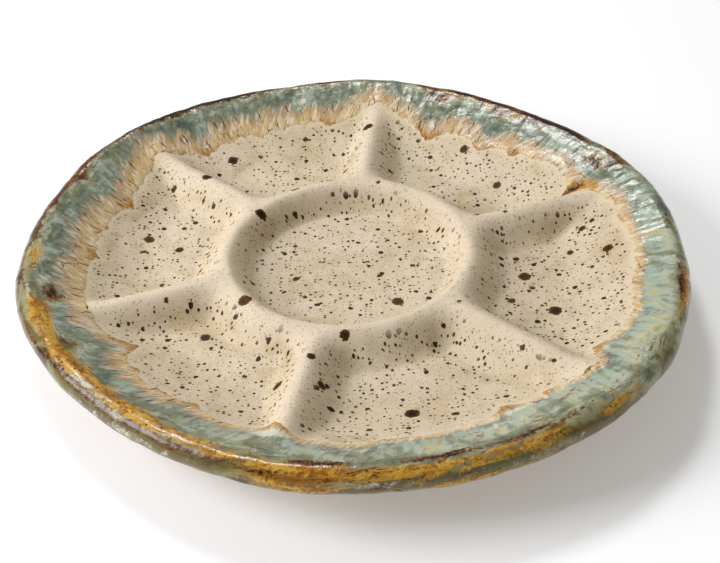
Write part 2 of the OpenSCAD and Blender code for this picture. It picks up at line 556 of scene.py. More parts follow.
    def drip(self, angle: np.ndarray, run: np.ndarray) -> np.ndarray:
        """How strongly the glaze pooled into a tongue, with its honey colour and brown hairs.

        Args:
            angle: direction from the platter's middle, in radians.
            run: distance along the section, in millimetres.

        Returns:
            The strength, 0 away from the tongues.
        """
        total = np.zeros_like(angle)
        melt = self.melt(angle, run)
        for tongue in self.tongues:
            off = np.abs(turn_between(angle, tongue.turn)) * self.form.melt_run / tongue.wide
            pooled = np.exp(-((off / 0.7) ** 2)) * np.exp(-(((melt - 2.0) / 5.0) ** 2))
            total = total + min(max(tongue.reach, 0.0) / 4.0, 1.0) * pooled
        return total

    def lead(self, angle: np.ndarray) -> np.ndarray:
        """How far ahead of its usual place the rim's colouring runs, in millimetres.

        Args:
            angle: direction from the platter's middle, in radians.

        Returns:
            The distance, in millimetres.
        """
        right = 10 * np.exp(-((turn_between(angle, -36) / math.radians(44)) ** 4))
        front = 6 * np.exp(-((turn_between(angle, -95) / math.radians(24)) ** 4))
        back = -2.5 * np.exp(-((turn_between(angle, 140) / math.radians(68)) ** 4))
        return right + front + back

    def gathered(self, places: tuple[Blush, ...], angle: np.ndarray, run: np.ndarray) -> np.ndarray:
        """How strongly a colour gathers at each place of the surface.

        Args:
            places: where the colour gathers.
            angle: direction from the platter's middle, in radians.
            run: distance along the section, in millimetres.

        Returns:
            The strength, 0 away from those places.
        """
        total = np.zeros_like(angle)
        for spot in places:
            along = turn_between(angle, spot.turn) * self.form.platter_r / spot.wide
            across = (run - self.form.melt_run - spot.out) / spot.deep
            total = total + spot.strength * np.exp(-(along**2) - across**2)
        return total

    def iron_depth(self, points: np.ndarray) -> np.ndarray:
        """Depth inside the nearest large iron spot, in millimetres, negative outside.

        Args:
            points: an (n, 3) array of places, in millimetres.

        Returns:
            The depth, in millimetres.
        """
        depth = np.full(len(points), -20.0)
        for spot in self.scatter.spots():
            depth = np.maximum(depth, spot.size - np.hypot(points[:, 0] - spot.x, points[:, 1] - spot.y))
        return depth


def to_linear(shade: str) -> tuple[float, float, float, float]:
    """Turn a colour such as "c8b090" into the linear values that a shader takes.

    Args:
        shade: red, green and blue as pairs of hexadecimal digits.

    Returns:
        Linear red, green, blue and alpha.
    """
    parts = [int(shade[k:k + 2], 16) / 255 for k in (0, 2, 4)]
    linear = [p / 12.92 if p <= 0.04045 else ((p + 0.055) / 1.055) ** 2.4 for p in parts]
    return (*linear, 1.0)


class Recipe:
    """A finish being mixed: adds nodes to a material one at a time."""

    def __init__(self, name: str) -> None:
        """Start an empty material.

        Args:
            name: the material's name.
        """
        self.material = bpy.data.materials.new(name)
        self.material.use_nodes = True
        self.tree = self.material.node_tree
        self.tree.nodes.clear()
        coordinates = self.tree.nodes.new("ShaderNodeTexCoord")
        self.place = self.vector_math("SCALE", coordinates.outputs["Object"], scale=1 / MM)

    def put(self, socket: bpy.types.NodeSocket, value: object) -> None:
        """Link a socket, or set it when the value is a plain number, colour or vector.

        Args:
            socket: the input to feed.
            value: a socket, a plain value, or None to leave the input alone.
        """
        if isinstance(value, bpy.types.NodeSocket):
            self.tree.links.new(value, socket)
        elif value is not None:
            socket.default_value = value

    def math(self, operation: str, a: object, b: object = None, clamp: bool = False) -> bpy.types.NodeSocket:
        """Add a Math node.

        Args:
            operation: what the node does.
            a: first number or socket.
            b: second number or socket.
            clamp: whether the result is held between 0 and 1.

        Returns:
            The node's result.
        """
        node = self.tree.nodes.new("ShaderNodeMath")
        node.operation = operation
        node.use_clamp = clamp
        self.put(node.inputs[0], a)
        self.put(node.inputs[1], b)
        return node.outputs[0]

    def vector_math(
        self, operation: str, a: object, b: object = None, scale: float | None = None
    ) -> bpy.types.NodeSocket:
        """Add a Vector Math node.

        Args:
            operation: what the node does.
            a: first vector or socket.
            b: second vector or socket.
            scale: the factor, for the SCALE operation.

        Returns:
            The node's result.
        """
        node = self.tree.nodes.new("ShaderNodeVectorMath")
        node.operation = operation
        self.put(node.inputs[0], a)
        if b is not None:
            self.put(node.inputs[1], b)
        if scale is not None:
            node.inputs["Scale"].default_value = scale
        return node.outputs[0]

    def attribute(self, name: str) -> bpy.types.NodeSocket:
        """Read a number that the mesh holds at its vertices.

        Args:
            name: the attribute's name.

        Returns:
            The number.
        """
        node = self.tree.nodes.new("ShaderNodeAttribute")
        node.attribute_name = name
        return node.outputs["Fac"]

    def stretch(self, vector: object, x: float, y: float, z: float) -> bpy.types.NodeSocket:
        """Scale a vector along its axes."""
        return self.vector_math("MULTIPLY", vector, (x, y, z))

    def noise(
        self, vector: object, size: float, detail: float = 3.0, rough: float = 0.55, bend: float = 0.0
    ) -> bpy.types.NodeSocket:
        """Cloudy noise.

        Args:
            vector: place, in millimetres.
            size: size of a patch.
            detail: how many finer layers are added.
            rough: how strong the finer layers are.
            bend: how far the patches are bent.

        Returns:
            The noise, from 0 to 1.
        """
        node = self.tree.nodes.new("ShaderNodeTexNoise")
        self.put(node.inputs["Vector"], vector)
        node.inputs["Scale"].default_value = 1 / size
        node.inputs["Detail"].default_value = detail
        node.inputs["Roughness"].default_value = rough
        node.inputs["Distortion"].default_value = bend
        return node.outputs["Fac"]

    def wobble(self, vector: object, size: float, amount: float) -> bpy.types.NodeSocket:
        """Shift a vector about by cloudy noise.

        Args:
            vector: place, in millimetres.
            size: size of a patch of the noise.
            amount: how far the vector is shifted at most.

        Returns:
            The shifted vector.
        """
        node = self.tree.nodes.new("ShaderNodeTexNoise")
        self.put(node.inputs["Vector"], vector)
        node.inputs["Scale"].default_value = 1 / size
        node.inputs["Detail"].default_value = 2.0
        centred = self.vector_math("SUBTRACT", node.outputs["Color"], (0.5, 0.5, 0.5))
        return self.vector_math("ADD", vector, self.vector_math("SCALE", centred, scale=amount))

    def span(self, value: object, low: float, high: float) -> bpy.types.NodeSocket:
        """Ease from 0 at low to 1 at high.

        Args:
            value: the number or socket to read.
            low: where the result is 0. It may be the greater of the two.
            high: where the result is 1.

        Returns:
            The eased share, from 0 to 1.
        """
        node = self.tree.nodes.new("ShaderNodeMapRange")
        node.interpolation_type = "SMOOTHSTEP"
        self.put(node.inputs["Value"], value)
        turned = low > high
        node.inputs["From Min"].default_value = min(low, high)
        node.inputs["From Max"].default_value = max(low, high)
        node.inputs["To Min"].default_value = float(turned)
        node.inputs["To Max"].default_value = float(not turned)
        return node.outputs["Result"]

    def ramp(self, value: object, stops: list[tuple[float, str]]) -> bpy.types.NodeSocket:
        """Colour a value by stops of (value, colour), eased between them.

        Args:
            value: the number or socket to read.
            stops: pairs of a value and the colour there, lowest first.

        Returns:
            The colour.
        """
        low, high = stops[0][0], stops[-1][0]
        node = self.tree.nodes.new("ShaderNodeMapRange")
        self.put(node.inputs["Value"], value)
        node.inputs["From Min"].default_value = low
        node.inputs["From Max"].default_value = high
        colours = self.tree.nodes.new("ShaderNodeValToRGB")
        self.tree.links.new(node.outputs["Result"], colours.inputs["Fac"])
        colours.color_ramp.interpolation = "EASE"
        elements = colours.color_ramp.elements
        while len(elements) > 1:
            elements.remove(elements[-1])
        for number, (at, shade) in enumerate(stops):
            where = (at - low) / (high - low)
            element = elements[0] if number == 0 else elements.new(where)
            element.position = where
            element.color = to_linear(shade)
        return colours.outputs["Color"]

    def blend(self, share: object, under: object, over: object, kind: str = "MIX") -> bpy.types.NodeSocket:
        """Mix two colours by a share from 0 to 1.

        Args:
            share: how much of the upper colour shows.
            under: the colour below.
            over: the colour on top.
            kind: how the colours mix.

        Returns:
            The mixed colour.
        """
        node = self.tree.nodes.new("ShaderNodeMix")
        node.data_type = "RGBA"
        node.blend_type = kind
        node.clamp_factor = True
        self.put(node.inputs["Factor"], share)
        for socket, colour in ((node.inputs[6], under), (node.inputs[7], over)):
            self.put(socket, to_linear(colour) if isinstance(colour, str) else colour)
        return node.outputs[2]

    def mixed(self, parts: list[tuple[object, float]]) -> bpy.types.NodeSocket:
        """Add up noises by weight, each first centred on 0.

        Args:
            parts: pairs of a noise and its weight.

        Returns:
            The sum.
        """
        total = None
        for value, weight in parts:
            part = self.math("MULTIPLY", self.math("SUBTRACT", value, 0.5), weight)
            total = part if total is None else self.math("ADD", total, part)
        return total

    def specks(
        self, vector: object, cell: float, share: float, small: float, large: float, plan: bool = False
    ) -> bpy.types.NodeSocket:
        """Scattered round specks.

        Args:
            vector: place, in millimetres.
            cell: mean distance between specks.
            share: share of the places that hold a speck.
            small: smallest radius.
            large: largest radius.
            plan: scatter them in plan, so that they draw out down the slopes.

        Returns:
            A mask, 1 inside a speck.
        """
        node = self.tree.nodes.new("ShaderNodeTexVoronoi")
        node.voronoi_dimensions = "2D" if plan else "3D"
        self.put(node.inputs["Vector"], vector)
        node.inputs["Scale"].default_value = 1 / cell
        lots = self.tree.nodes.new("ShaderNodeSeparateColor")
        self.tree.links.new(node.outputs["Color"], lots.inputs["Color"])
        skew = self.math("POWER", lots.outputs[0], 3.0)
        radius = self.math("ADD", self.math("MULTIPLY", skew, (large - small) / cell), small / cell)
        inside = self.math("SUBTRACT", radius, node.outputs["Distance"])
        mask = self.span(inside, -0.08 * small / cell, 0.45 * small / cell)
        return self.math("MULTIPLY", mask, self.math("LESS_THAN", lots.outputs[1], share))

    def vein(self, value: object, half_width: float) -> bpy.types.NodeSocket:
        """Thin lines where cloudy noise passes its middle.

        Args:
            value: the noise.
            half_width: half the width of a line, as a step of the noise.

        Returns:
            A mask, 1 inside a line.
        """
        off = self.math("ABSOLUTE", self.math("SUBTRACT", value, 0.5))
        return self.span(off, half_width, 0.3 * half_width)

    def strokes(
        self, across: object, apart: float, share: float, half_width: float, half_length: float
    ) -> bpy.types.NodeSocket:
        """Separate thin strokes that run across the rim.

        Args:
            across: distance along the section, in millimetres.
            apart: mean distance between strokes.
            share: share of the places that hold a stroke.
            half_width: half a stroke's width at its middle.
            half_length: half its length.

        Returns:
            A mask, 1 inside a stroke.
        """
        split = self.tree.nodes.new("ShaderNodeSeparateXYZ")
        self.put(split.inputs[0], self.wobble(self.place, 4.0, 2.2))
        turn = self.math("ARCTAN2", split.outputs["Y"], split.outputs["X"])
        around = self.math("MULTIPLY", turn, RIM_R / apart)
        join = self.tree.nodes.new("ShaderNodeCombineXYZ")
        self.put(join.inputs["X"], around)
        self.put(join.inputs["Y"], self.math("MULTIPLY", across, 0.5 / half_length))
        cells = self.tree.nodes.new("ShaderNodeTexVoronoi")
        cells.voronoi_dimensions = "2D"
        cells.inputs["Scale"].default_value = 1.0
        self.put(cells.inputs["Vector"], join.outputs[0])
        off = self.tree.nodes.new("ShaderNodeSeparateXYZ")
        self.put(off.inputs[0], self.vector_math("SUBTRACT", join.outputs[0], cells.outputs["Position"]))
        aside = self.math("MULTIPLY", self.math("ABSOLUTE", off.outputs["X"]), apart / half_width)
        along = self.math("MULTIPLY", off.outputs["Y"], 2.0)
        room = self.math("SUBTRACT", 1.0, self.math("MULTIPLY", along, along))
        lots = self.tree.nodes.new("ShaderNodeSeparateColor")
        self.tree.links.new(cells.outputs["Color"], lots.inputs["Color"])
        mask = self.span(self.math("SUBTRACT", room, aside), 0.0, 0.5)
        return self.math("MULTIPLY", mask, self.math("LESS_THAN", lots.outputs[1], share))

    def round_the_rim(
        self, across: object, wide: float, long: float, slant: float = 0.0
    ) -> bpy.types.NodeSocket:
        """Coordinates for streaks that run across the rim.

        Args:
            across: distance along the section, in millimetres.
            wide: how wide a streak is, along the rim.
            long: how long a streak is, across the rim.
            slant: how far a streak drifts along the rim for each millimetre across it.

        Returns:
            A vector in which a streak is about 1 wide and 1 long.
        """
        flat = self.stretch(self.place, 1.0, 1.0, 0.0)
        turn = self.tree.nodes.new("ShaderNodeVectorRotate")
        turn.rotation_type = "Z_AXIS"
        self.put(turn.inputs["Vector"], self.vector_math("NORMALIZE", flat))
        self.put(turn.inputs["Angle"], self.math("MULTIPLY", across, slant / RIM_R))
        ring = self.vector_math("SCALE", turn.outputs[0], scale=RIM_R / wide)
        node = self.tree.nodes.new("ShaderNodeCombineXYZ")
        self.put(node.inputs["Z"], self.math("MULTIPLY", across, 1 / long))
        return self.vector_math("ADD", ring, node.outputs[0])

    def finish(
        self, colour: object, roughness: object, relief: object, relief_mm: float,
        coat: float = 0.0, coat_roughness: float = 0.05, specular: float = 0.5,
    ) -> bpy.types.Material:
        """End the recipe with its surface.

        Args:
            colour: base colour.
            roughness: roughness.
            relief: height of the fine relief, from 0 to 1.
            relief_mm: depth of the fine relief, in millimetres.
            coat: weight of the glassy coat on top.
            coat_roughness: roughness of that coat.
            specular: specular level.

        Returns:
            The finished material.
        """
        shader = self.tree.nodes.new("ShaderNodeBsdfPrincipled")
        self.put(shader.inputs["Base Color"], colour)
        self.put(shader.inputs["Roughness"], roughness)
        shader.inputs["Specular IOR Level"].default_value = specular
        shader.inputs["Coat Weight"].default_value = coat
        shader.inputs["Coat Roughness"].default_value = coat_roughness
        bump = self.tree.nodes.new("ShaderNodeBump")
        bump.inputs["Strength"].default_value = 1.0
        bump.inputs["Distance"].default_value = relief_mm * MM
        self.put(bump.inputs["Height"], relief)
        self.tree.links.new(bump.outputs["Normal"], shader.inputs["Normal"])
        output = self.tree.nodes.new("ShaderNodeOutputMaterial")
        self.tree.links.new(shader.outputs[0], output.inputs[0])
        return self.material


@dataclass(frozen=True)
class OatmealGlaze:
    """Satin oatmeal glaze with iron speckle, over the wells, ring and ridges, with a painted highlight
    lightening their crests.
    """

    cream: str = "d5c6ae"
    oat: str = "c4b193"
    warm: str = "b39870"
    # Pale pink cream of the glaze's lighter clouds, also laid on the crests as a painted highlight.
    pink_cream_and_crest_highlight: str = "e0d1bd"
    speck: str = "2a1300"
    faint_speck: str = "7a4c16"
    spot_edge: str = "5c340f"
    spot_heart: str = "1f1005"
    spot_middle: str = "3f2309"
    golden_spot: str = "84561a"
    milky_edge: str = "dccdb2"

    def mix(self) -> bpy.types.Material:
        """Mix the finish.

        Returns:
            The material.
        """
        r = Recipe("oatmeal_glaze")
        crest = r.attribute("crest")
        melt = r.attribute("melt")
        cloud = r.noise(r.place, 26, 5, 0.62, 0.4)
        patch = r.noise(r.wobble(r.place, 9, 6), 11, 4, 0.6)
        grain = r.noise(r.place, 1.6, 3, 0.6)
        base = r.ramp(cloud, [(0.3, self.oat), (0.52, self.cream), (0.72, self.pink_cream_and_crest_highlight)])
        stain = r.math("MULTIPLY", r.span(patch, 0.52, 0.78), 0.5)
        base = r.blend(stain, base, self.warm)
        # Painted highlight: the crests of the ring and ridges are lightened towards pale pink cream.
        base = r.blend(r.math("MULTIPLY", r.span(crest, 0.35, 1.0), 0.75), base, self.pink_cream_and_crest_highlight)
        base = r.blend(r.math("MULTIPLY", r.span(grain, 0.55, 0.8), 0.16), base, self.oat)

        plan = r.wobble(r.place, 1.1, 0.6)
        busy = r.noise(r.place, 18, 2, 0.5)
        bare = r.math("MULTIPLY", r.span(crest, 0.6, 1.0), 0.8)
        dust = r.specks(plan, 1.3, 0.6, 0.14, 0.42, plan=True)
        dust = r.math("MULTIPLY", dust, r.span(busy, 0.25, 0.55))
        fine = r.specks(plan, 2.7, 0.62, 0.24, 1.0, plan=True)
        fine = r.math("MULTIPLY", fine, r.math("SUBTRACT", 1.0, bare))
        middling = r.specks(r.wobble(r.place, 2.0, 1.6), 6.0, 0.42, 0.5, 1.7, plan=True)
        middling = r.math("MULTIPLY", middling, r.math("SUBTRACT", 1.0, bare))
        tint = r.span(r.noise(r.place, 3.5, 1), 0.5, 0.62)
        ink = r.blend(r.math("MULTIPLY", tint, 0.75), self.speck, self.faint_speck)
        base = r.blend(r.math("MULTIPLY", dust, 0.7), base, self.faint_speck)
        base = r.blend(r.math("MULTIPLY", fine, 0.95), base, ink)
        base = r.blend(r.math("MULTIPLY", middling, 0.97), base, self.speck)

        ragged = r.math("MULTIPLY", r.math("SUBTRACT", r.noise(r.place, 1.3, 4, 0.7), 0.5), 3.4)
        depth = r.math("ADD", r.attribute("iron"), ragged)
        spot = r.span(depth, 0.0, 0.35)
        tone = r.ramp(depth, [(0.0, self.spot_edge), (1.2, self.spot_middle), (2.6, self.spot_heart)])
        golden = r.span(r.noise(r.place, 34, 1), 0.55, 0.62)
        tone = r.blend(r.math("MULTIPLY", golden, 0.22), tone, self.golden_spot)
        base = r.blend(spot, base, tone)

        edge = r.span(r.math("ADD", melt, r.math("MULTIPLY", patch, 3.0)), -3.5, 2.0)
        base = r.blend(r.math("MULTIPLY", edge, 0.8), base, self.milky_edge)

        dimples = r.math("MULTIPLY", r.noise(r.place, 4.5, 3, 0.5), 0.8)
        relief = r.math("ADD", dimples, r.math("MULTIPLY", grain, 0.15))
        relief = r.math("SUBTRACT", relief, r.math("MULTIPLY", r.math("MAXIMUM", middling, spot), 0.25))
        roughness = r.math("ADD", r.math("MULTIPLY", cloud, 0.2), 0.38)
        return r.finish(base, roughness, relief, 0.25, coat=0.0, coat_roughness=0.2, specular=0.14)


class Currents:
    """The unevenness that the rim glaze's colours share.

    Attributes:
        melt: distance out from the line where the glazes meet, in millimetres.
        across: distance along the section, in millimetres.
        lead: how far ahead of its usual place the colouring runs, in millimetres.
        behind: 0 over the front of the rim, 1 over its back.
        fine: narrow streaks across the rim.
        streak: broad streaks across the rim.
        combed: slanted streaks across the rim.
        flow: long bent streaks along the rim.
        cloud: large soft patches.
        mottle: small patches.
        grain: fine grain.
    """

    def __init__(self, r: Recipe) -> None:
        """Add the nodes to a recipe.

        Args:
            r: the recipe.
        """
        self.melt = r.attribute("melt")
        self.across = r.attribute("across")
        self.lead = r.attribute("lead")
        split = r.tree.nodes.new("ShaderNodeSeparateXYZ")
        r.put(split.inputs[0], r.place)
        self.behind = r.span(split.outputs["Y"], -70.0, 50.0)
        self.fine = r.noise(r.wobble(r.round_the_rim(self.across, 1.7, 12), 2.5, 0.8), 1, 4, 0.6)
        self.streak = r.noise(r.wobble(r.round_the_rim(self.across, 5.5, 22, 0.3), 1.6, 1.3), 1, 4, 0.58)
        self.combed = r.noise(r.wobble(r.round_the_rim(self.across, 3.0, 16, 0.6), 2.0, 0.8), 1, 4, 0.6)
        self.flow = r.noise(r.wobble(r.round_the_rim(self.across, 16.0, 5.0, 1.2), 1.3, 1.3), 1, 4, 0.56, 0.6)
        self.cloud = r.noise(r.wobble(r.place, 14, 9), 19, 5, 0.62, 0.5)
        self.mottle = r.noise(r.wobble(r.place, 5, 4), 5.5, 5, 0.68, 0.4)
        self.grain = r.noise(r.wobble(r.place, 2.2, 1.6), 2.0, 5, 0.72)


@dataclass(frozen=True)
class ReactiveGlaze:
    """Glossy rim glaze that breaks from cream and blue-green to sage, amber and iron brown."""

    oat: str = "d8c8ac"
    milk: str = "e9dfcd"
    gold: str = "cb9f56"
    teal: str = "627a76"
    deep_teal: str = "33464a"
    ice: str = "a9bab0"
    sage: str = "998c5c"
    frost_and_lip_highlight: str = "dad8c8"
    pooled: str = "b98836"
    hatching: str = "8a6c50"
    hair: str = "3d210a"
    rind: str = "ad7a2c"
    straw: str = "ddc380"
    thread: str = "4a2a10"
    pepper: str = "3a2009"
    honey: str = "c8982f"
    amber: str = "9a6212"
    rust: str = "6e3a0e"
    iron: str = "1d0c02"

    def mix(self) -> bpy.types.Material:
        """Mix the finish.

        Returns:
            The material.
        """
        r = Recipe("reactive_rim_glaze")
        flows = Currents(r)
        drift = r.mixed([(flows.streak, 15.0), (flows.cloud, 12.0)])
        loose = r.math("MULTIPLY", r.span(flows.melt, 0.5, 9.0), r.span(flows.melt, 36.0, 28.0))
        zone = r.math("ADD", flows.melt, r.math("MULTIPLY", drift, r.math("ADD", loose, 0.12)))
        eager = r.math("MULTIPLY", r.span(flows.melt, 2.5, 7.0), r.span(flows.melt, 28.0, 16.0))
        zone = r.math("ADD", zone, r.math("MULTIPLY", flows.lead, eager))
        base = self.bands(r, zone)
        base = self.blues(r, flows, zone, base)
        base, feather = self.feathers(r, flows, zone, base)
        base = self.ambers(r, flows, base)
        base = self.irons(r, flows, base)
        relief = r.math("ADD", r.math("MULTIPLY", flows.streak, 0.4), r.math("MULTIPLY", flows.mottle, 0.35))
        relief = r.math("ADD", relief, r.math("MULTIPLY", flows.flow, 0.3))
        relief = r.math("ADD", relief, r.math("MULTIPLY", flows.fine, r.math("MULTIPLY", feather, 0.6)))
        roughness = r.math("ADD", r.math("MULTIPLY", flows.mottle, 0.24), 0.06)
        return r.finish(base, roughness, relief, 0.6, specular=0.35)

    def bands(self, r: Recipe, zone: object) -> bpy.types.NodeSocket:
        """Colour by distance from the melt line, for one streaky reading of that distance.

        Args:
            r: the recipe.
            zone: streaky distance from the melt line.

        Returns:
            The colour.
        """
        return r.ramp(
            zone,
            [
                (-1.0, self.oat), (1.0, "dac59c"), (3.5, "d2b686"), (8.0, "b9a081"), (11.5, "93947e"),
                (15.0, self.teal), (20.0, "79897b"), (24.5, "989b75"), (28.5, "bfb68b"),
                (32.0, "95946a"), (35.0, "6b6440"), (39.0, "6e6238"), (43.0, "84835c"), (49.0, "54401c"),
            ],
        )

    def blues(self, r: Recipe, flows: Currents, zone: object, base: object) -> bpy.types.NodeSocket:
        """Break the blue-green band into deep, icy and sage runs, paler where it leads, and lay frost-white
        patches, with a painted highlight along the front-left lip.

        Args:
            r: the recipe.
            flows: the unevenness that the colours share.
            zone: streaky distance from the melt line.
            base: the colour so far.

        Returns:
            The colour.
        """
        within = r.math("MULTIPLY", r.span(zone, 10.0, 15.0), r.span(zone, 34.0, 27.0))
        outer = r.span(flows.melt, 17.0, 25.0)
        across = r.math("MULTIPLY", r.mixed([(flows.streak, 0.55)]), r.math("SUBTRACT", 1.0, outer))
        along = r.math("MULTIPLY", r.mixed([(flows.flow, 0.8)]), outer)
        patches = r.mixed([(flows.mottle, 0.36), (flows.cloud, 0.55)])
        run = r.math("ADD", r.math("ADD", across, along), patches)
        paler = r.math("MULTIPLY", flows.lead, r.math("SUBTRACT", 0.009, r.math("MULTIPLY", outer, 0.013)))
        run = r.math("ADD", run, paler)
        tint = r.ramp(
            run,
            [(-0.18, self.deep_teal), (-0.08, "5b675b"), (0.0, "7f8876"), (0.1, self.ice), (0.22, "c2bd98")],
        )
        base = r.blend(r.math("MULTIPLY", within, 0.8), base, tint)
        sage = r.math("MULTIPLY", r.span(flows.combed, 0.53, 0.64), within)
        base = r.blend(r.math("MULTIPLY", sage, 0.5), base, self.sage)
        # Frost-white patches of the glaze, with a painted highlight along the front-left lip crest.
        pale = r.math("ADD", r.attribute("pale"), r.mixed([(flows.mottle, 1.8), (flows.combed, 1.4)]))
        return r.blend(r.math("MULTIPLY", r.span(pale, 0.4, 1.0), 0.8), base, self.frost_and_lip_highlight)

    def feathers(
        self, r: Recipe, flows: Currents, zone: object, base: object
    ) -> tuple[bpy.types.NodeSocket, bpy.types.NodeSocket]:
        """Draw the milky, golden and brown streaks that run down to the melt line.

        Args:
            r: the recipe.
            flows: the unevenness that the colours share.
            zone: streaky distance from the melt line.
            base: the colour so far.

        Returns:
            The colour, and a mask of where the streaks are.
        """
        melt, drip = flows.melt, r.attribute("drip")
        feather = r.math("MULTIPLY", r.span(zone, 16.0, 8.0), r.span(melt, -0.5, 0.8))
        gilt = r.noise(r.wobble(r.round_the_rim(flows.across, 3.2, 26), 2.0, 0.8), 1, 4, 0.6)
        gilded = r.math("MULTIPLY", r.span(gilt, 0.53, 0.66), feather)
        base = r.blend(r.math("MULTIPLY", gilded, 0.65), base, self.gold)
        milky = r.noise(r.wobble(r.round_the_rim(flows.across, 2.4, 9, 0.6), 2.0, 1.0), 1, 4, 0.6)
        milk = r.math("MULTIPLY", r.span(milky, 0.49, 0.61), feather)
        base = r.blend(r.math("MULTIPLY", milk, 0.7), base, self.milk)
        pooled = r.math("MULTIPLY", drip, r.math("ADD", r.math("MULTIPLY", flows.fine, 1.6), 0.2))
        base = r.blend(r.math("MULTIPLY", r.span(pooled, 0.4, 0.9), 0.8), base, self.pooled)
        hatch = r.noise(r.wobble(r.round_the_rim(flows.across, 1.1, 9, 0.7), 2.5, 0.5), 1, 3, 0.5)
        hatch = r.math("MULTIPLY", r.vein(hatch, 0.05), feather)
        base = r.blend(r.math("MULTIPLY", hatch, 0.3), base, self.hatching)

        shy = r.math("SUBTRACT", 1.0, r.span(flows.lead, 0.5, 4.0))
        hair = r.math("MULTIPLY", r.vein(flows.fine, 0.022), r.span(drip, 0.25, 0.6))
        long_hair = r.strokes(flows.across, 8.0, 0.5, 0.5, 4.5)
        short_hair = r.math("MULTIPLY", r.strokes(flows.across, 4.0, 0.4, 0.28, 2.0), 0.8)
        hair = r.math("MAXIMUM", hair, r.math("MULTIPLY", r.math("MAXIMUM", long_hair, short_hair), shy))
        hair = r.math("MULTIPLY", hair, r.math("MULTIPLY", r.span(melt, -0.6, 0.4), r.span(melt, 19.0, 12.0)))
        base = r.blend(r.math("MULTIPLY", hair, 0.95), base, self.hair)

        lace = r.math("ADD", melt, r.mixed([(flows.fine, 7.0), (flows.grain, 4.0), (flows.mottle, 3.0)]))
        rind = r.math("MULTIPLY", r.span(lace, 0.4, 1.2), r.span(lace, 2.6, 1.4))
        where = r.noise(r.round_the_rim(flows.across, 7, 30), 1, 3, 0.6)
        rind = r.math("MULTIPLY", rind, r.math("MAXIMUM", r.span(where, 0.48, 0.62), r.span(drip, 0.3, 0.7)))
        base = r.blend(r.math("MULTIPLY", rind, 0.8), base, self.rind)
        base = r.blend(r.span(lace, 1.0, 0.2), base, self.oat)
        return base, feather

    def ambers(self, r: Recipe, flows: Currents, base: object) -> bpy.types.NodeSocket:
        """Lay the amber that gathers on the crest and lip.

        Args:
            r: the recipe.
            flows: the unevenness that the colours share.
            base: the colour so far.

        Returns:
            The colour.
        """
        broken = r.mixed([(flows.flow, 1.7), (flows.grain, 0.9)])
        amber = r.math("ADD", r.math("MULTIPLY", r.attribute("amber"), 0.55), broken)
        tone = r.ramp(
            r.mixed([(flows.flow, 0.7), (flows.grain, 0.8), (flows.mottle, 0.3)]),
            [(-0.2, self.rust), (-0.08, self.amber), (0.06, self.honey), (0.2, self.straw)],
        )
        base = r.blend(r.math("MULTIPLY", r.span(amber, 0.22, 0.62), 0.95), base, tone)
        edge = r.math("ADD", flows.melt, r.math("MULTIPLY", flows.behind, 7.0))
        edge = r.math("MULTIPLY", r.span(edge, 34.4, 36.4), r.span(flows.melt, 39.0, 34.0))
        edge = r.math("MULTIPLY", edge, r.math("ADD", r.math("MULTIPLY", flows.behind, 0.5), 0.5))
        patchy = r.mixed([(flows.flow, 1.0), (flows.mottle, 0.6)])
        patchy = r.span(r.math("ADD", patchy, r.math("MULTIPLY", flows.behind, 0.12)), -0.14, 0.0)
        worn = r.mixed([(flows.flow, 0.8), (flows.mottle, 0.5), (flows.grain, 0.35)])
        brown = r.ramp(worn, [(-0.16, "231005"), (-0.02, "4f2c0c"), (0.1, "7d4f14"), (0.22, "b88832")])
        return r.blend(r.math("MULTIPLY", r.math("MULTIPLY", edge, patchy), 0.95), base, brown)

    def irons(self, r: Recipe, flows: Currents, base: object) -> bpy.types.NodeSocket:
        """Break dark iron brown through the crest and lip in clumps, threads and dots.

        Args:
            r: the recipe.
            flows: the unevenness that the colours share.
            base: the colour so far.

        Returns:
            The colour.
        """
        rusty = r.attribute("rust")
        rust = r.math("ADD", r.math("MULTIPLY", rusty, 0.5), r.mixed([(flows.flow, 1.6), (flows.grain, 1.4)]))
        base = r.blend(r.math("MULTIPLY", r.span(rust, 0.22, 0.42), 0.9), base, self.rust)
        base = r.blend(r.math("MULTIPLY", r.span(rust, 0.4, 0.56), 0.95), base, self.iron)
        outer = r.span(flows.melt, 19.0, 27.0)
        clouded = r.math("MULTIPLY", outer, r.span(flows.cloud, 0.42, 0.56))
        busy = r.math("MAXIMUM", clouded, r.span(rusty, 0.2, 0.6))
        thread = r.math("MULTIPLY", r.vein(flows.flow, 0.02), busy)
        base = r.blend(r.math("MULTIPLY", thread, 0.85), base, self.thread)
        dots = r.specks(r.wobble(r.place, 1.2, 0.6), 2.4, 0.45, 0.2, 0.7)
        peppered = r.math("MAXIMUM", r.math("MULTIPLY", outer, 0.8), r.span(r.attribute("amber"), 0.3, 0.8))
        return r.blend(r.math("MULTIPLY", r.math("MULTIPLY", dots, peppered), 0.85), base, self.pepper)


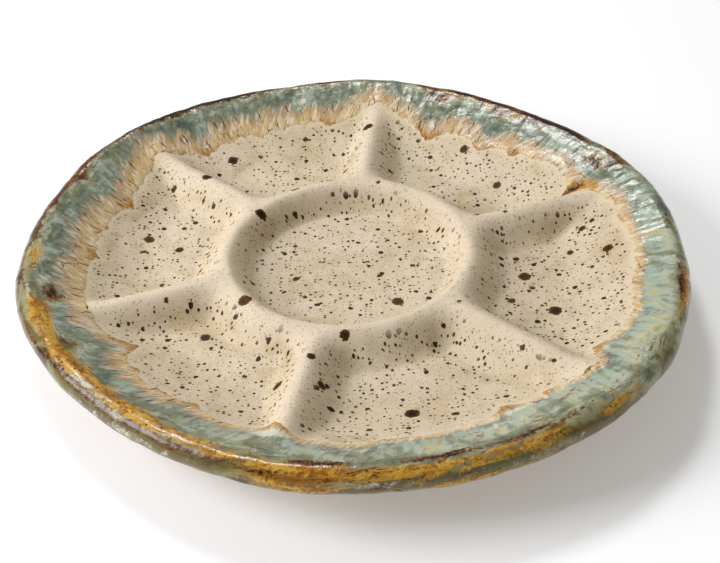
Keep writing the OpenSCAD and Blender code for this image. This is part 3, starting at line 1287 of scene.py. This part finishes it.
@dataclass(frozen=True)
class AmberWash:
    """Thin amber-brown glaze under the rim, with sage where it ran thick."""

    amber: str = "8f6a36"
    brown: str = "5a3d22"
    sage: str = "8c8a68"

    def mix(self) -> bpy.types.Material:
        """Mix the finish.

        Returns:
            The material.
        """
        r = Recipe("underside_glaze")
        across = r.attribute("across")
        cloud = r.noise(r.wobble(r.place, 12, 8), 20, 5, 0.6)
        run = r.noise(r.wobble(r.round_the_rim(across, 5, 26), 2.0, 0.6), 1, 4, 0.6)
        base = r.ramp(cloud, [(0.32, self.brown), (0.5, self.amber), (0.68, self.sage)])
        base = r.blend(r.math("MULTIPLY", r.span(run, 0.5, 0.66), 0.5), base, "b08c50")
        base = r.blend(r.math("MULTIPLY", r.span(run, 0.42, 0.32), 0.6), base, "3f2b1b")
        dots = r.specks(r.wobble(r.place, 1.2, 0.6), 3.4, 0.45, 0.25, 0.7)
        base = r.blend(r.math("MULTIPLY", dots, 0.7), base, "2c1b12")
        relief = r.math("ADD", r.math("MULTIPLY", run, 0.6), r.math("MULTIPLY", cloud, 0.3))
        roughness = r.math("ADD", r.math("MULTIPLY", cloud, 0.2), 0.12)
        return r.finish(base, roughness, relief, 0.3, coat=0.3, coat_roughness=0.1)


@dataclass(frozen=True)
class BareClay:
    """Fired buff stoneware with iron grog and the rings that turning left."""

    clay: str = "b08f68"
    toasted: str = "94704a"
    grog: str = "4a3424"

    def mix(self) -> bpy.types.Material:
        """Mix the finish.

        Returns:
            The material.
        """
        r = Recipe("bare_stoneware")
        cloud = r.noise(r.place, 24, 5, 0.6)
        tooth = r.noise(r.place, 0.9, 4, 0.7)
        base = r.ramp(cloud, [(0.34, self.toasted), (0.6, self.clay)])
        base = r.blend(r.math("MULTIPLY", r.span(tooth, 0.5, 0.75), 0.35), base, "c6a881")
        grog = r.specks(r.wobble(r.place, 1.0, 0.5), 3.0, 0.5, 0.2, 0.6)
        base = r.blend(r.math("MULTIPLY", grog, 0.8), base, self.grog)
        turned = r.noise(r.round_the_rim(r.attribute("across"), 60, 1.4), 1, 2, 0.5)
        relief = r.math("ADD", r.math("MULTIPLY", tooth, 0.5), r.math("MULTIPLY", turned, 0.6))
        roughness = r.math("ADD", r.math("MULTIPLY", tooth, 0.12), 0.78)
        return r.finish(base, roughness, relief, 0.35, specular=0.3)


@dataclass
class Coat:
    """A layer of the platter between two runs of the section.

    Attributes:
        form: the platter's surface.
        glazing: where the glazes meet and their colours gather.
        name: the piece's name.
        node: the CAD node that it stands for.
        slot: the record's material slot. Not used.
        start: run at which the layer begins, 0 for the middle of the platter.
        end: run at which it ends.
        columns: how many steps go round the platter.
        step: spacing of the stations along the section, in millimetres.
        back_step: spacing of the stations on the layer's hidden back.
    """

    form: PlatterForm
    glazing: Glazing
    name: str
    node: str
    slot: str
    start: float
    end: float
    columns: int
    step: float
    back_step: float = 6.0

    def face_lift(self, angle: np.ndarray, run: np.ndarray, rough: np.ndarray) -> np.ndarray:
        """How far the layer's face stands off the clay."""
        raise NotImplementedError

    def finish(self) -> bpy.types.Material:
        """The layer's material."""
        raise NotImplementedError

    def stations(self) -> tuple[np.ndarray, np.ndarray]:
        """Runs of the stations along the section, with the layer that each lies on.

        Returns:
            The run of each station, and the side that it lies on.
        """
        face = np.linspace(self.start, self.end, round((self.end - self.start) / self.step) + 1)
        back = np.linspace(self.end, self.start, round((self.end - self.start) / self.back_step) + 1)
        run = np.concatenate([face, back, face[:1]])
        layer = np.full(len(run), Layer.FACE.value)
        layer[len(face):len(face) + len(back)] = Layer.BACK.value
        return run, layer

    def build(self) -> bpy.types.Object:
        """Roll a flat sheet into the layer, mark it for the finish and hand it to the frame.

        The sheet has a row for each station and a column for each step round the platter. Its
        seams and poles close once it is shaped.

        Returns:
            The finished piece.
        """
        run, layer = self.stations()
        rows = len(run) - 1
        bm = bmesh.new()
        bmesh.ops.create_grid(bm, x_segments=rows, y_segments=self.columns, size=0.5)
        mesh = bpy.data.meshes.new(self.name)
        bm.to_mesh(mesh)
        flat = np.empty(len(mesh.vertices) * 3)
        mesh.vertices.foreach_get("co", flat)
        share = flat.reshape(-1, 3)[:, :2] + 0.5
        row = np.rint(share[:, 0] * rows).astype(int)
        column = np.rint(share[:, 1] * self.columns) % self.columns
        run, on_face, angle = run[row], layer[row] == Layer.FACE.value, column * FULL_TURN / self.columns

        bare = self.form.place(angle, run, np.zeros_like(run))
        lift = np.where(on_face, self.face_lift(angle, run, bare), self.back_lift)
        points = self.form.place(angle, run, lift)
        mesh.vertices.foreach_set("co", (points * MM).ravel())
        self.mark(mesh, "melt", self.glazing.melt(angle, run))
        self.mark(mesh, "across", run)
        self.mark(mesh, "drip", self.glazing.drip(angle, run))
        self.mark(mesh, "lead", self.glazing.lead(angle))
        self.mark(mesh, "crest", self.form.divider_rise(angle, np.hypot(bare[:, 0], bare[:, 1])))
        self.mark(mesh, "iron", self.glazing.iron_depth(bare))
        self.mark(mesh, "amber", self.glazing.gathered(self.glazing.amber, angle, run))
        self.mark(mesh, "rust", self.glazing.gathered(self.glazing.iron, angle, run))
        self.mark(mesh, "pale", self.glazing.gathered(self.glazing.pale, angle, run))

        bm.clear()
        bm.from_mesh(mesh)
        bmesh.ops.remove_doubles(bm, verts=bm.verts, dist=SEAM)
        bmesh.ops.recalc_face_normals(bm, faces=bm.faces)
        bm.to_mesh(mesh)
        bm.free()
        mesh.shade_smooth()

        piece = bpy.data.objects.new(self.name, mesh)
        bpy.context.scene.collection.objects.link(piece)
        mesh.materials.append(self.finish())
        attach(piece, BODY)
        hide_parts(self.node)
        log.info("%s: %d faces for %s", self.name, len(mesh.polygons), self.node)
        return piece

    def lumps(self, rough: np.ndarray) -> np.ndarray:
        """Soft lumps and dimples of hand-pressed clay, deeper out at the lip.

        Args:
            rough: places on the bare clay, in millimetres.

        Returns:
            Their height, in millimetres.
        """
        outward = smooth(np.hypot(rough[:, 0], rough[:, 1]), 120.0, 172.0)
        broad = (0.28 + 0.2 * outward) * Wander(16, 60, 21).at(rough)
        return broad + (0.07 + 0.05 * outward) * Wander(5, 12, 22).at(rough)

    @property
    def back_lift(self) -> float:
        """How far the layer's back stands off the clay."""
        return 0.0

    @staticmethod
    def mark(mesh: bpy.types.Mesh, name: str, values: np.ndarray) -> None:
        """Store a number at each vertex for the finish to read."""
        layer = mesh.attributes.new(name, "FLOAT", "POINT")
        layer.data.foreach_set("value", values.astype(np.float32))


@dataclass
class WellGlaze(Coat):
    """The oatmeal glaze over the dip well, the ring, the ridges and the compartments."""

    def face_lift(self, angle: np.ndarray, run: np.ndarray, rough: np.ndarray) -> np.ndarray:
        """Even thickness with the soft dimples of pressed clay, thinning out under the rim's glaze."""
        tucked = smooth(self.glazing.melt(angle, run), 0.5, 4.0)
        return self.form.glaze_t + self.lumps(rough) - 0.6 * tucked

    def finish(self) -> bpy.types.Material:
        """Oatmeal glaze."""
        return OatmealGlaze().mix()


@dataclass
class RimGlaze(Coat):
    """The reactive glaze over the rim and lip, which ran down over the oatmeal glaze."""

    def face_lift(self, angle: np.ndarray, run: np.ndarray, rough: np.ndarray) -> np.ndarray:
        """Thick at its rounded inner edge, rippled where it ran, thin over the lip.

        Args:
            angle: direction from the platter's middle, in radians.
            run: distance along the section, in millimetres.
            rough: places on the bare clay, in millimetres.

        Returns:
            How far the face stands off the clay, in millimetres.
        """
        melt = self.glazing.melt(angle, run)
        round_the_rim = np.stack([np.cos(angle), np.sin(angle), np.zeros_like(angle)], axis=1)
        ripple = Wander(3, 9, 31).at(np.column_stack([round_the_rim[:, :2] * 150, run / 5]))
        running = smooth(melt, 0.0, 4.0) * (1 - smooth(melt, 16.0, 30.0))
        over = smooth(melt, -0.6, 1.0)
        bead = 0.3 * np.exp(-np.clip(melt, 0, None) / 7) * over
        return self.form.glaze_t - 0.45 * (1 - over) + bead + self.lumps(rough) + 0.2 * ripple * running

    def finish(self) -> bpy.types.Material:
        """Reactive glaze."""
        return ReactiveGlaze().mix()


@dataclass
class UndersideGlaze(Coat):
    """The thin glaze under the rim, wiped back short of the foot ring."""

    def face_lift(self, angle: np.ndarray, run: np.ndarray, rough: np.ndarray) -> np.ndarray:
        """Even thickness, drawn down to the clay with a soft bead where it was wiped."""
        wiped = smooth(run, self.form.under_run - 2.5, self.form.under_run)
        return (self.form.glaze_t + self.lumps(rough)) * (1 - 0.85 * wiped)

    def finish(self) -> bpy.types.Material:
        """Amber wash."""
        return AmberWash().mix()


@dataclass
class ClayBody(Coat):
    """The fired clay: hidden under the glazes, bare on its foot ring and base."""

    def face_lift(self, angle: np.ndarray, run: np.ndarray, rough: np.ndarray) -> np.ndarray:
        """Just under the glazes, with turning rings on the base inside the foot.

        Args:
            angle: direction from the platter's middle, in radians. Not used.
            run: distance along the section, in millimetres.
            rough: places on the bare clay, in millimetres. Not used.

        Returns:
            How far the face stands off the clay, in millimetres.
        """
        on_base = smooth(run, self.form.under_run + 28, self.form.under_run + 34)
        on_base = on_base * (1 - smooth(run, self.form.base_run() - 12, self.form.base_run() - 2))
        groove = 0.12 * np.sin(run * FULL_TURN / 3.1) * on_base
        glazed = 1 - smooth(run, self.form.under_run - 1.5, self.form.under_run)
        return groove - 0.15 * glazed

    def stations(self) -> tuple[np.ndarray, np.ndarray]:
        """Runs over the body's whole section, wide apart where the glazes hide it.

        Returns:
            The run of each station, and the side that it lies on.
        """
        hidden_end = self.form.under_run - 6
        hidden = np.linspace(0, hidden_end, round(hidden_end / self.back_step))
        shown = np.linspace(hidden_end + 1, self.end, round((self.end - hidden_end) / self.step))
        run = np.concatenate([hidden, shown])
        return run, np.full(len(run), Layer.FACE.value)

    def finish(self) -> bpy.types.Material:
        """Bare clay."""
        return BareClay().mix()


@dataclass(frozen=True)
class Lamp:
    """A soft square lamp.

    Attributes:
        name: the lamp's name.
        place: where it hangs, in metres.
        size: length of its side, in metres.
        power: its power, in watts.
        tint: its colour.
    """

    name: str
    place: tuple[float, float, float]
    size: float
    power: float
    tint: str


@dataclass
class Studio:
    """A pale table, soft light and the camera. Camera sizes are in millimetres and degrees."""

    key: Lamp = Lamp("key", (-1.06, -0.13, 0.72), 0.62, 13.6, "fffdfb")
    overhead: Lamp = Lamp("overhead", (-0.5, 1.5, 2.2), 0.5, 26.0, "ffffff")
    lamp_target: tuple[float, float, float] = (0.0, 0.0, 0.02)
    table_reach: float = 60.0
    table_shade: str = "f1f4fb"
    table_glow: float = 0.23
    lens: float = 57.5
    sensor: float = 36.0
    elevation: float = 37.6
    roll: float = -3.35
    distance: float = 593.0
    aim: tuple[float, float, float] = (5.3, -40.2, 36.5)
    horizon: float = 0.4
    zenith: float = 0.24

    def table(self) -> None:
        """Lay a wide pale floor under the foot ring."""
        bm = bmesh.new()
        bmesh.ops.create_grid(bm, x_segments=1, y_segments=1, size=self.table_reach)
        mesh = bpy.data.meshes.new("table")
        bm.to_mesh(mesh)
        bm.free()
        floor = bpy.data.objects.new("table", mesh)
        floor.location.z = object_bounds()[0][2]
        bpy.context.scene.collection.objects.link(floor)
        material = bpy.data.materials.new("pale_table")
        material.use_nodes = True
        shader = material.node_tree.nodes["Principled BSDF"]
        shader.inputs["Base Color"].default_value = to_linear(self.table_shade)
        shader.inputs["Emission Color"].default_value = to_linear("ffffff")
        shader.inputs["Emission Strength"].default_value = self.table_glow
        shader.inputs["Roughness"].default_value = 0.9
        shader.inputs["Specular IOR Level"].default_value = 0.1
        mesh.materials.append(material)
        floor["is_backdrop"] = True

    def hang(self, lamp: Lamp) -> None:
        """Hang one soft square lamp aimed at the platter.

        Args:
            lamp: the lamp's place, size, power and colour.
        """
        light = bpy.data.lights.new(lamp.name, "AREA")
        light.size = lamp.size
        light.energy = lamp.power
        light.color = to_linear(lamp.tint)[:3]
        hung = bpy.data.objects.new(lamp.name, light)
        hung.location = lamp.place
        aim = Vector(self.lamp_target) - Vector(lamp.place)
        hung.rotation_euler = aim.to_track_quat("-Z", "Y").to_euler()
        bpy.context.scene.collection.objects.link(hung)

    def light(self) -> None:
        """Light low from the left, with a soft lamp overhead and a fill all round."""
        world = bpy.data.worlds.new("studio")
        world.use_nodes = True
        nodes, links = world.node_tree.nodes, world.node_tree.links
        split = nodes.new("ShaderNodeSeparateXYZ")
        links.new(nodes.new("ShaderNodeTexCoord").outputs["Generated"], split.inputs[0])
        rise = nodes.new("ShaderNodeMapRange")
        rise.inputs["To Min"].default_value = self.horizon
        rise.inputs["To Max"].default_value = self.zenith
        links.new(split.outputs["Z"], rise.inputs["Value"])
        links.new(rise.outputs["Result"], nodes["Background"].inputs["Strength"])
        nodes["Background"].inputs["Color"].default_value = to_linear("fff9ea")
        bpy.context.scene.world = world
        self.hang(self.key)
        self.hang(self.overhead)
        bpy.context.scene.view_settings.view_transform = "Standard"

    def camera(self) -> None:
        """Set the camera at the viewing angle, level but for a slight roll."""
        data = bpy.data.cameras.new("camera")
        data.sensor_width = self.sensor
        data.lens = self.lens
        data.clip_start = 0.01
        camera = bpy.data.objects.new("camera", data)
        low, roll = math.radians(self.elevation), math.radians(self.roll)
        ahead = Vector((0, math.cos(low), -math.sin(low)))
        level, upright = Vector((1, 0, 0)), Vector((0, math.sin(low), math.cos(low)))
        right = math.cos(roll) * level + math.sin(roll) * upright
        up = math.cos(roll) * upright - math.sin(roll) * level
        turn = Matrix((right, up, -ahead)).transposed()
        stand = (Vector(self.aim) - ahead * self.distance) * MM
        camera.matrix_world = Matrix.Translation(stand) @ turn.to_4x4()
        bpy.context.scene.collection.objects.link(camera)
        bpy.context.scene.camera = camera

    def build(self) -> None:
        """Set up the table, lights and camera."""
        self.table()
        self.light()
        self.camera()


def main() -> None:
    """Build the platter's four layers and the studio round them."""
    logging.basicConfig(level=logging.INFO, format="%(name)s: %(message)s")
    form = PlatterForm()
    glazing = Glazing(form)
    tuck = 24.0
    under_rim = 22.0
    Studio().build()
    ClayBody(
        form, glazing, "clay_body", "stoneware_body", "bare_stoneware",
        0.0, form.base_run(), 360, 1.5, 2.6,
    ).build()
    WellGlaze(
        form, glazing, "oatmeal_well_coat", "well_glaze", "well_oatmeal_glaze",
        0.0, form.melt_run + under_rim, 540, 1.15,
    ).build()
    RimGlaze(
        form, glazing, "reactive_rim_coat", "rim_glaze", "rim_reactive_glaze",
        form.melt_run - tuck, form.lip_run, 1080, 1.0,
    ).build()
    UndersideGlaze(
        form, glazing, "underside_coat", "underside_glaze", "underside_amber_glaze",
        form.lip_run, form.under_run, 540, 1.5,
    ).build()


if __name__ == "__main__":
    main()
